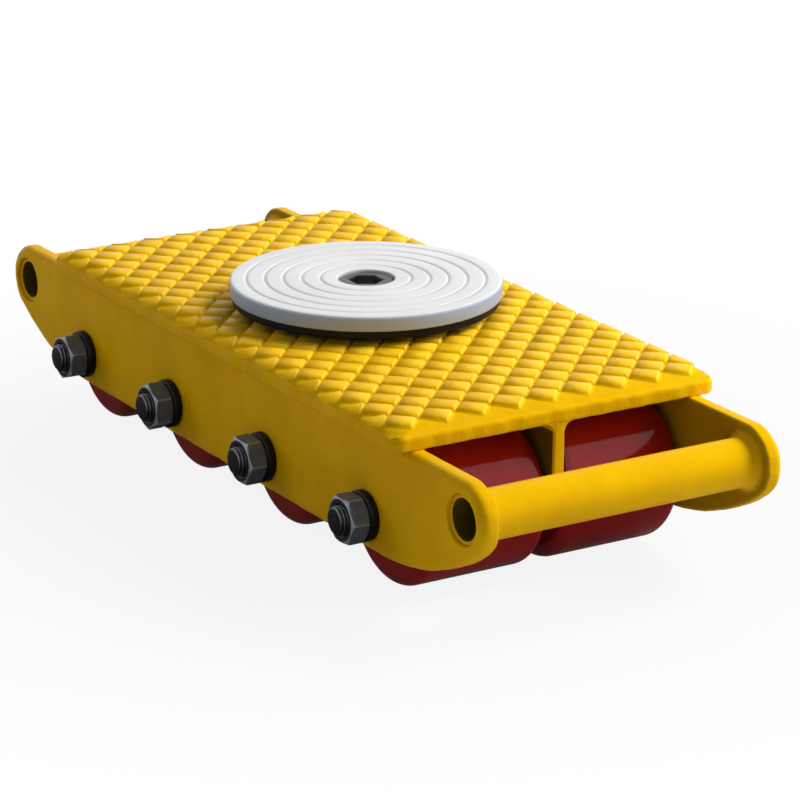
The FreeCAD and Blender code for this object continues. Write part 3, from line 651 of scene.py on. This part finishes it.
red = urethane()
tyre_corners = [(CORE_RADIUS, ROLLER_IN), (ROLLER_RADIUS, ROLLER_IN)]
tyre_corners += [(ROLLER_RADIUS, ROLLER_OUT), (CORE_RADIUS, ROLLER_OUT)]
tyre_line = rounded(tyre_corners, TYRE_ROUNDS, ROLLER_STEPS)
for number, axle_x in enumerate(AXLE_X, 1):
    for side_name, flip in (("left", 1), ("right", -1)):
        tyre = turned(tyre_line * np.array([1, flip]), ROLLER_SEGMENTS, centre=(axle_x, AXLE_Z))
        name = f"roller_{number}_{side_name}"
        new_piece(name + "_skin", [tyre], red, name, [f"roller_tyre_{number}_{side_name}"])


# Axles: four turned steel shafts through plates and rib, blackened, with rolled threads at both ends that
# stand out past their nuts.
SHAFT_RADIUS = 10.0
SHAFT_SHOULDER = 92.0
THREAD_RADIUS = 8.0
THREAD_DEPTH = 1.0
THREAD_PITCH = 2.0
THREAD_START = 105.5
AXLE_TIP = 112.0
AXLE_SEGMENTS = 72
THREAD_STEP = 0.2
EDGE_GAP = 0.05
TIP_CHAMFER = 1.4
TIP_RADII = (THREAD_RADIUS - THREAD_DEPTH - 0.6, 2.0, 0.0)


def black_steel(name, tone, rough, recess_shade=None, rubbed=None):
    """Blackened steel: nearly black with a cloudy oil sheen, painted blacker still as shade inside a recess,
    and pale on marked thread crests, both rubbed and a painted highlight."""
    steel = Shader(name, Metallic=0.75)
    low = tuple(0.6 * c for c in tone)
    colour = steel.ramp(steel.noise(160, 4), (0.35, low), (0.68, tone))
    # Painted shade: near black inside the marked recess.
    if recess_shade:
        colour = steel.mix(steel.value(recess_shade), colour, (0.006, 0.006, 0.006))
    # Paler on the marked crests: rubbed, plus a painted highlight.
    if rubbed:
        colour = steel.mix(steel.value(rubbed), colour, (0.16, 0.16, 0.165))
    gloss = steel.span(steel.noise(240, 3), 0.3, 0.7, rough - 0.07, rough + 0.09)
    relief = steel.bump(steel.noise(1300, 2), 0.00008, 0.4)
    return steel.finish(Base_Color=colour, Roughness=gloss, Normal=relief)


def threaded_axle(axle_x):
    """Axle with threads: radius follows a wave of (y / pitch - angle / turn), fading out at the chamfered
    tip. The crest value marks the tops of the threads."""
    thread = np.arange(THREAD_START, AXLE_TIP - EDGE_GAP, THREAD_STEP)
    shaft = [0, SHAFT_SHOULDER, SHAFT_SHOULDER + EDGE_GAP, THREAD_START - EDGE_GAP]
    ends = np.concatenate((shaft, thread, [AXLE_TIP] * len(TIP_RADII)))
    radius = np.full(len(ends), THREAD_RADIUS)
    radius[:2] = SHAFT_RADIUS
    radius[-len(TIP_RADII):] = TIP_RADII
    along = np.concatenate((-ends[::-1], ends[1:]))
    radius = np.concatenate((radius[::-1], radius[1:]))
    angle = np.linspace(0, 2 * np.pi, AXLE_SEGMENTS, endpoint=False)[:, None]
    wave = 0.5 + 0.5 * np.cos(2 * np.pi * (along[None] / THREAD_PITCH - angle / (2 * np.pi)))
    wave = np.clip(1.5 * wave - 0.25, 0, 1)
    cut = (np.abs(along) >= THREAD_START) & (np.abs(along) < AXLE_TIP)
    limit = THREAD_RADIUS - np.clip(np.abs(along) - (AXLE_TIP - TIP_CHAMFER), 0, None)
    swept = np.where(cut, np.minimum(radius - THREAD_DEPTH * (1 - wave), limit), radius)
    along = np.broadcast_to(along, swept.shape)
    grid = np.dstack((axle_x + swept * np.cos(angle), along, AXLE_Z + swept * np.sin(angle)))
    crest = np.where(cut, smooth(wave, 0.8, 1.0), 0.0)
    return (grid.reshape(-1, 3), grid_faces(*swept.shape, close_rows=True), True), crest


# The thread crests are painted paler: rubbed, plus a painted highlight.
thread_black = black_steel("black_axle_steel", (0.022, 0.022, 0.023), 0.36, rubbed="crest")
for number, axle_x in enumerate(AXLE_X, 1):
    name = f"axle_shaft_{number}"
    patch, crest = threaded_axle(axle_x)
    values = {"crest": crest}
    new_piece(name + "_threaded", [patch], thread_black, "frame", [name], True, values)


# Nuts and spring washers: dark hexagon nuts chamfered on both faces, each tightened to its own angle over a
# black split washer; handling has worn the nuts' edges bright, and the nuts' end faces are painted black as
# shade.
NUT_FLATS = 24.0
NUT_LOW = 97.5
NUT_HIGH = 108.5
NUT_SOFTNESS = 0.16
NUT_CHAMFER = 0.4
NUT_FACE = (9.6, 11.0)
NUT_TURNS = {"right": [31.0, 27.0, 0.0, -11.0], "left": [20.0, 4.0, 31.0, 12.0]}
WASHER_IN = 8.3
WASHER_OUT = 13.8
WASHER_SLIT = 0.16
WASHER_SEGMENTS = 72
WASHER_ROUNDS = [0.5, 1.0, 1.3, 0.5]


def worn_steel():
    """Dark nut steel: satin grey, scuffed, painted black on its end faces as shade, with edges worn to bare
    metal.
    """
    steel = Shader("dark_nut_steel", Metallic=0.3)
    body = steel.ramp(steel.noise(220, 4), (0.3, (0.075, 0.100, 0.150)), (0.7, (0.115, 0.150, 0.215)))
    # Painted shade: the flat end faces are made near black.
    body = steel.mix(steel.value("face"), body, (0.012, 0.012, 0.013))
    rubbed = steel.span(steel.noise(500, 3), 0.25, 0.6, 0.4, 1.0)
    worn = steel.add("ShaderNodeMath", {0: steel.value("edge"), 1: rubbed}, operation="MULTIPLY").outputs[0]
    tone = steel.mix(worn, body, (0.52, 0.55, 0.60))
    gloss = steel.span(steel.noise(300, 3), 0.3, 0.7, 0.34, 0.5)
    relief = steel.bump(steel.noise(1500, 2), 0.0001, 0.35)
    return steel.finish(Base_Color=tone, Roughness=gloss, Normal=relief)


def nut(axle_x, turn):
    """Hexagon nut: outer radius is the soft minimum of the hexagon, flats / 2 / cos(angle from the nearest
    flat), and the two chamfer cones; then the faces and the bore. The edge value marks the corners and the
    chamfers, and the face value the flat ends."""
    facet = np.concatenate((np.linspace(-30, -24, 5), np.linspace(-20, 20, 7), np.linspace(24, 29, 4)))
    angle = np.radians((60 * np.arange(6)[:, None] + facet[None, :]).ravel() + turn)[:, None]
    corner = np.radians(np.tile(np.abs(facet), 6))[:, None]
    hexagon = NUT_FLATS / 2 / np.cos(corner)
    half_height = (NUT_HIGH - NUT_LOW) / 2
    level = half_height * np.sin(np.linspace(-np.pi / 2, np.pi / 2, 25))[None]
    cone = NUT_FLATS / 2 - NUT_CHAMFER + (half_height - np.abs(level)) * np.sqrt(3)
    outer = -NUT_SOFTNESS * np.log(np.exp(-hexagon / NUT_SOFTNESS) + np.exp(-cone / NUT_SOFTNESS))
    ends = [(THREAD_RADIUS + 0.1, 1.0), (THREAD_RADIUS + 0.9, 0.05)]
    ends = np.array(ends + [(face_radius, 0.0) for face_radius in NUT_FACE])
    end_radius = np.broadcast_to(ends[:, 0], (len(angle), len(ends)))
    radius = np.hstack((end_radius, outer, end_radius[:, ::-1]))
    along = np.concatenate((ends[:, 1] - half_height, level[0], half_height - ends[::-1, 1]))[None]
    along = np.broadcast_to(along + (NUT_LOW + NUT_HIGH) / 2, radius.shape)
    grid = np.dstack((axle_x + radius * np.cos(angle), along, AXLE_Z + radius * np.sin(angle)))
    on_corner = smooth(np.degrees(corner), 26.5, 30) * (hexagon < cone + 0.1)
    on_cone = 0.75 * smooth(hexagon - cone, -0.4, 0.3)
    blank = np.zeros(end_radius.shape)
    edge = np.hstack((blank, np.maximum(0.6 * on_corner, on_cone), blank))
    face = np.hstack((blank + 1, np.zeros(outer.shape), blank + 1))
    faces = grid_faces(*radius.shape, close_rows=True, close_columns=True)
    return (grid.reshape(-1, 3), faces, True), edge, face


def split_washer(axle_x):
    """Spring washer: a rounded square section carried round the axle and cut by a slit at the bottom."""
    corners = [(WASHER_IN, PLATE_OUT), (WASHER_OUT, PLATE_OUT), (WASHER_OUT, NUT_LOW), (WASHER_IN, NUT_LOW)]
    section = rounded(corners, WASHER_ROUNDS, 5)
    slit = WASHER_SLIT / 2
    angle = np.linspace(slit, 2 * np.pi - slit, WASHER_SEGMENTS)[:, None] - np.pi / 2
    radius = np.broadcast_to(section[None, :, 0], (WASHER_SEGMENTS, len(section)))
    along = np.broadcast_to(section[None, :, 1], radius.shape)
    grid = np.dstack((axle_x + radius * np.cos(angle), along, AXLE_Z + radius * np.sin(angle)))
    cap = tessellate_polygon([[Vector(p) for p in grid[0]]])
    ends = [(grid[0], cap, False), (grid[-1], cap, False)]
    return [(grid.reshape(-1, 3), grid_faces(*radius.shape, close_columns=True), True)] + ends


nut_grey = worn_steel()
washer_black = black_steel("black_washer_steel", (0.012, 0.012, 0.012), 0.5)
nut_patches = []
nut_edges = []
nut_faces = []
washer_patches = []
for side_name, turns in NUT_TURNS.items():
    for axle_x, turn in zip(AXLE_X, turns):
        patch, edge, face = nut(axle_x, turn)
        washers = split_washer(axle_x)
        if side_name == "right":
            patch = mirrored([patch])[0]
            washers = mirrored(washers)
        nut_patches.append(patch)
        nut_edges.append(edge.ravel())
        nut_faces.append(face.ravel())
        washer_patches += washers
nut_values = {"edge": np.concatenate(nut_edges), "face": np.concatenate(nut_faces)}
new_piece("axle_nuts_worn", nut_patches, nut_grey, "frame", ["axle_nuts"], True, nut_values)
new_piece(
    "axle_lock_washers_split", washer_patches, washer_black, "frame", ["axle_lock_washers"]
)


# Turntable: a round steel load plate, turned and zinc-bright, with five fine ring grooves for grip; a black
# ring under its rim keeps dirt out of the bearing.
TABLE_RADIUS = 76.5
TABLE_TOP = 116.3
TABLE_LOW = 107.7
TABLE_GROOVES = 25.5 + 10.4 * np.arange(5)
GROOVE_SECTION = np.array(
    [(-1.9, 0.0), (-1.25, -0.02), (-0.85, -0.3), (0.0, -0.75), (0.85, -0.3), (1.25, -0.02), (1.9, 0.0)]
)
GROOVE_DARK = 0.5
SIDE_FADE = (1.0, 0.1)
HEAD_RECESS = 16.2
HUB_RADIUS = 23.5
HUB_LOW = 98.7
HUB_SEAT = 105.0
RACE_SEAT_RADIUS = 35.05
RACE_SEAT_DEPTH = 4.0
BUSH_SEAT_RADIUS = 14.05
TABLE_ROUNDS = [0.7, 2.0, 0.8, 0.3, 0.3, 0.3, 0.6, 0.3, 0.3, 0.3]
TABLE_SEGMENTS = 192
SKIRT_RADIUS = 75.0
SKIRT_IN = 63.0
SKIRT_LOW = 103.0
SKIRT_ROUNDS = [0.6, 1.2, 0.3, 0.3]


def turned_steel():
    """Lathe-turned bright steel: pale grey with fine concentric tool marks, with painted shade on the rim's
    side, tinted blue, and in the ring grooves.
    """
    steel = Shader("turned_bright_steel", Metallic=0.15)
    tone = steel.ramp(steel.noise(18, 4), (0.3, (0.74, 0.74, 0.74)), (0.7, (0.84, 0.84, 0.84)))
    flat = steel.add("ShaderNodeVectorMath", {0: steel.place, 1: (1, 1, 0)}, operation="MULTIPLY").outputs[0]
    radius = steel.add("ShaderNodeVectorMath", {0: flat}, operation="LENGTH").outputs["Value"]
    inputs = {"W": radius, "Scale": 2600.0, "Detail": 2.0}
    rings = steel.add("ShaderNodeTexNoise", inputs, noise_dimensions="1D").outputs["Fac"]
    # Painted shade on the rim's side, tinted blue against the yellow light thrown up by the deck.
    tone = steel.mix(steel.value("side"), tone, (0.36, 0.43, 0.58))
    # Painted shade at the bottoms of the ring grooves.
    tone = steel.mix(steel.value("ring"), tone, (0.52, 0.52, 0.52))
    gloss = steel.span(steel.noise(70, 4), 0.3, 0.7, 0.36, 0.5)
    return steel.finish(Base_Color=tone, Roughness=gloss, Normal=steel.bump(rings, 0.00004, 0.5))


def table_line():
    """Half section of the load plate as (radius, height): grooved top, rounded rim, bearing seat and hub."""
    seat_top = TABLE_LOW + RACE_SEAT_DEPTH
    corners = [(HEAD_RECESS, TABLE_TOP), (TABLE_RADIUS, TABLE_TOP), (TABLE_RADIUS, TABLE_LOW)]
    corners += [(RACE_SEAT_RADIUS, TABLE_LOW), (RACE_SEAT_RADIUS, seat_top), (HUB_RADIUS, seat_top)]
    corners += [(HUB_RADIUS, HUB_LOW), (BUSH_SEAT_RADIUS, HUB_LOW), (BUSH_SEAT_RADIUS, HUB_SEAT)]
    corners += [(HEAD_RECESS, HUB_SEAT)]
    line = rounded(corners, TABLE_ROUNDS)
    first_corner, others = np.split(line, [len(line) // len(corners)])
    middles = np.stack((TABLE_GROOVES, np.full(len(TABLE_GROOVES), TABLE_TOP)), axis=1)
    cuts = GROOVE_SECTION[None] + middles[:, None]
    return np.vstack((first_corner, cuts.reshape(-1, 2), others))


bright = turned_steel()
section = table_line()
load_plate = turned(section, TABLE_SEGMENTS, "Z")
# Painted shade: points near a ring groove's middle, below the top face.
in_ring = (np.abs(section[:, 0, None] - TABLE_GROOVES) < GROOVE_DARK).any(axis=1)
in_ring &= section[:, 1] < TABLE_TOP
on_side = smooth(section[:, 0], TABLE_RADIUS - SIDE_FADE[0], TABLE_RADIUS - SIDE_FADE[1])
plate_values = {
    "side": np.tile(on_side, TABLE_SEGMENTS),
    "ring": np.tile(in_ring.astype(float), TABLE_SEGMENTS),
}
new_piece(
    "load_plate", [load_plate], bright, "turntable", ["turntable_plate"], True, plate_values
)


def black_rubber():
    """Black rubber ring: dull, slightly dusty."""
    skin = Shader("black_ring_rubber", Specular_IOR_Level=0.12)
    tone = skin.ramp(skin.noise(120, 4), (0.35, (0.005, 0.005, 0.005)), (0.75, (0.012, 0.012, 0.013)))
    gloss = skin.span(skin.noise(90, 3), 0.3, 0.7, 0.42, 0.58)
    return skin.finish(Base_Color=tone, Roughness=gloss, Normal=skin.bump(skin.noise(900, 2), 0.0001, 0.4))


skirt_corners = [(SKIRT_IN, SKIRT_LOW), (SKIRT_RADIUS, SKIRT_LOW)]
skirt_corners += [(SKIRT_RADIUS, TABLE_LOW), (SKIRT_IN, TABLE_LOW)]
skirt = turned(rounded(skirt_corners, SKIRT_ROUNDS), TABLE_SEGMENTS, "Z")
new_piece("dust_ring", [skirt], black_rubber(), "turntable", ["turntable_skirt"])


# Pivot screw: a dark socket-head shoulder screw sunk in the middle of the load plate; its thread is fixed in
# the deck's boss, and the turntable turns round its shoulder.
HEAD_RADIUS = 15.5
HEAD_TOP = 115.0
HEAD_LOW = 105.3
HEAD_FLAT = 11.5
SOCKET_FLATS = 17.0
SOCKET_DEPTH = 6.5
SHOULDER_RADIUS = 12.0
PIVOT_THREAD = 10.0
PIVOT_END = 79.0


def pivot_surface():
    """Screw as rings of (radius, height); the socket's rings follow a hexagon, flats / 2 / cos(angle from the
    nearest flat). The sunk value marks the inside of the socket."""
    angle = np.linspace(0, 2 * np.pi, ROUND_SEGMENTS, endpoint=False)[:, None]
    from_flat = angle % (np.pi / 3) - np.pi / 6
    hexagon = SOCKET_FLATS / 2 / np.cos(from_flat)
    rings = [(0, PIVOT_END), (PIVOT_THREAD - 1, PIVOT_END), (PIVOT_THREAD, PIVOT_END + 1)]
    rings += [(PIVOT_THREAD, LAND_Z), (SHOULDER_RADIUS, LAND_Z), (SHOULDER_RADIUS, HEAD_LOW)]
    rings += [(HEAD_RADIUS - 0.2, HEAD_LOW), (HEAD_RADIUS, HEAD_LOW + 0.2), (HEAD_RADIUS, HEAD_TOP - 0.9)]
    rings += [(HEAD_RADIUS - 0.25, HEAD_TOP - 0.3), (HEAD_RADIUS - 0.9, HEAD_TOP), (HEAD_FLAT, HEAD_TOP)]
    rings = np.array(rings, float)
    floor_z = HEAD_TOP - SOCKET_DEPTH
    socket = np.array([(1.05, HEAD_TOP), (1.0, HEAD_TOP - 0.45), (1.0, floor_z), (0.0, floor_z - 1)])
    around = np.broadcast_to(rings[:, 0], (len(angle), len(rings)))
    radius = np.hstack((around, hexagon * socket[None, :, 0]))
    sunk = np.broadcast_to(np.concatenate((np.zeros(len(rings) + 1), [1, 1, 1])), radius.shape)
    height = np.broadcast_to(np.concatenate((rings[:, 1], socket[:, 1])), radius.shape)
    grid = np.dstack((radius * np.cos(angle), radius * np.sin(angle), height))
    return (grid.reshape(-1, 3), grid_faces(*radius.shape, close_rows=True), True), sunk


# The socket's inside is painted near black as shade.
pivot_dark = black_steel("dark_pivot_steel", (0.11, 0.11, 0.115), 0.38, "sunk")
patch, sunk = pivot_surface()
values = {"sunk": sunk}
new_piece("pivot_screw_head", [patch], pivot_dark, "frame", ["pivot_screw"], True, values)


# Bearings, sleeves, collars and cores: bright ground steel inside the rollers and under the turntable, with
# a bronze bush in the turntable's hub.
def ground_steel(name, tone, rough):
    """Ground metal: even tone with faint directional grinding."""
    metal = Shader(name, Metallic=1.0)
    low = tuple(0.86 * c for c in tone)
    colour = metal.ramp(metal.noise(80, 3), (0.3, low), (0.7, tone))
    gloss = metal.span(metal.noise(200, 3), 0.3, 0.7, rough - 0.06, rough + 0.08)
    relief = metal.bump(metal.noise(1400, 2), 0.00005, 0.3)
    return metal.finish(Base_Color=colour, Roughness=gloss, Normal=relief)


bearing_steel = ground_steel("ground_bearing_steel", (0.60, 0.60, 0.61), 0.27)
bronze = ground_steel("bush_bronze", (0.55, 0.33, 0.12), 0.34)
for node, cad_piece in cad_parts.items():
    cad_piece.data.materials.clear()
    cad_piece.data.materials.append(bronze if node == "turntable_bush" else bearing_steel)


# Studio: a pale floor in white surroundings, painted dark as shade near the skate where reflections see it, a
# soft box above the far side, a lower panel off the front end and a weak fill on the near side off the rear
# end.
FLOOR_HALF = 12.0
floor_mesh = bpy.data.meshes.new("floor")
floor_corners = FLOOR_HALF * np.array([(-1, -1, 0), (1, -1, 0), (1, 1, 0), (-1, 1, 0)])
floor_mesh.from_pydata(floor_corners, [], [(0, 1, 2, 3)])
floor = bpy.data.objects.new("floor", floor_mesh)
bpy.context.scene.collection.objects.link(floor)
pale = Shader("pale_floor", Roughness=0.9)
rays = pale.add("ShaderNodeLightPath").outputs
# Painted shade: seen in reflections, the floor is near black close to the skate and turns white only further
# out.
tone = pale.mix(rays["Is Glossy Ray"], (0.6, 0.6, 0.6), (0.06, 0.06, 0.06))
pale.tree.links.new(tone, pale.bsdf.inputs["Base Color"])
beyond = pale.add("ShaderNodeVectorMath", {0: pale.place}, operation="LENGTH").outputs["Value"]
mirrored_share = pale.span(beyond, 0.4, 1.2, 0.06, 1.0)
mirror_rays = {0: rays["Is Glossy Ray"], 1: rays["Is Transmission Ray"]}
mirror_ray = pale.add("ShaderNodeMath", mirror_rays, operation="MAXIMUM")
in_mirror = pale.add("ShaderNodeMath", {0: mirror_ray.outputs[0], 1: mirrored_share}, operation="MULTIPLY")
viewed_share = pale.span(beyond, 0.2, 0.45, 0.88, 1.0)
in_view = pale.add("ShaderNodeMath", {0: rays["Is Camera Ray"], 1: viewed_share}, operation="MULTIPLY")
share = pale.add("ShaderNodeMath", {0: in_mirror.outputs[0], 1: in_view.outputs[0]}, operation="MAXIMUM")
white = pale.add("ShaderNodeEmission", {"Color": (1, 1, 1, 1), "Strength": 1.0})
both = pale.add("ShaderNodeMixShader", {0: share.outputs[0], 1: pale.bsdf.outputs[0], 2: white.outputs[0]})
pale.tree.links.new(both.outputs[0], pale.tree.nodes["Material Output"].inputs["Surface"])
floor_mesh.materials.append(pale.material)

world = bpy.data.worlds.new("studio")
bpy.context.scene.world = world
world.use_nodes = True
nodes = world.node_tree.nodes
links = world.node_tree.links
sky = nodes["Background"]
sky.inputs["Color"].default_value = (1, 1, 1, 1)
rays = nodes.new("ShaderNodeLightPath").outputs
seen = nodes.new("ShaderNodeMath")
seen.operation = "MAXIMUM"
links.new(rays["Is Camera Ray"], seen.inputs[0])
mirror = nodes.new("ShaderNodeMath")
mirror.operation = "MAXIMUM"
links.new(rays["Is Glossy Ray"], mirror.inputs[0])
links.new(rays["Is Transmission Ray"], mirror.inputs[1])
links.new(mirror.outputs[0], seen.inputs[1])
strength = nodes.new("ShaderNodeMapRange")
strength.inputs["To Min"].default_value = 0.2
strength.inputs["To Max"].default_value = 1.0
links.new(seen.outputs[0], strength.inputs["Value"])
links.new(strength.outputs["Result"], sky.inputs["Strength"])


def soft_box(name, place, aim, width, height, watts):
    """Rectangular lamp at a place, turned to face a point; metres and watts."""
    lamp = bpy.data.lights.new(name, "AREA")
    lamp.shape = "RECTANGLE"
    lamp.size = width
    lamp.size_y = height
    lamp.energy = watts
    box = bpy.data.objects.new(name, lamp)
    towards = Vector(aim) - Vector(place)
    box.matrix_world = Matrix.Translation(place) @ towards.to_track_quat("-Z", "Y").to_matrix().to_4x4()
    box.visible_glossy = False
    bpy.context.scene.collection.objects.link(box)


soft_box("overhead", (0.4, 1.3, 1.3), (0.0, 0.0, 0.08), 0.9, 0.9, 36)
soft_box("front_panel", (1.1, 1.25, 0.7), (0.1, 0.0, 0.05), 0.8, 0.8, 8.5)
soft_box("near_fill", (-1.6, -1.2, 0.6), (0.0, 0.0, 0.05), 1.2, 0.8, 5.5)


# Camera: a long lens, a little above the deck, looking back along the right side from the front corner.
CAMERA_AZIMUTH = np.radians(58.3)
CAMERA_ELEVATION = np.radians(18.3)
CAMERA_ROLL = np.radians(0.4)
CAMERA_TARGET = np.array([44.3, -4.5, 57.4])
CAMERA_DISTANCE = 1941.6
CAMERA_LENS = 157.8
SENSOR_WIDTH = 36.0
back = np.array([np.sin(CAMERA_AZIMUTH), -np.cos(CAMERA_AZIMUTH), 0]) * np.cos(CAMERA_ELEVATION)
back[2] = np.sin(CAMERA_ELEVATION)
level = np.array([np.cos(CAMERA_AZIMUTH), np.sin(CAMERA_AZIMUTH), 0])
raised = np.cross(back, level)
right = np.cos(CAMERA_ROLL) * level + np.sin(CAMERA_ROLL) * raised
up = np.cos(CAMERA_ROLL) * raised - np.sin(CAMERA_ROLL) * level
camera = bpy.data.objects.new("camera", bpy.data.cameras.new("camera"))
camera.data.lens = CAMERA_LENS
camera.data.sensor_width = SENSOR_WIDTH
place = (CAMERA_TARGET + back * CAMERA_DISTANCE) * MM
turn = Matrix(np.stack((right, up, back), axis=1).tolist())
camera.matrix_world = Matrix.Translation(place) @ turn.to_4x4()
bpy.context.scene.collection.objects.link(camera)
bpy.context.scene.camera = camera
bpy.context.scene.view_settings.view_transform = "Standard"
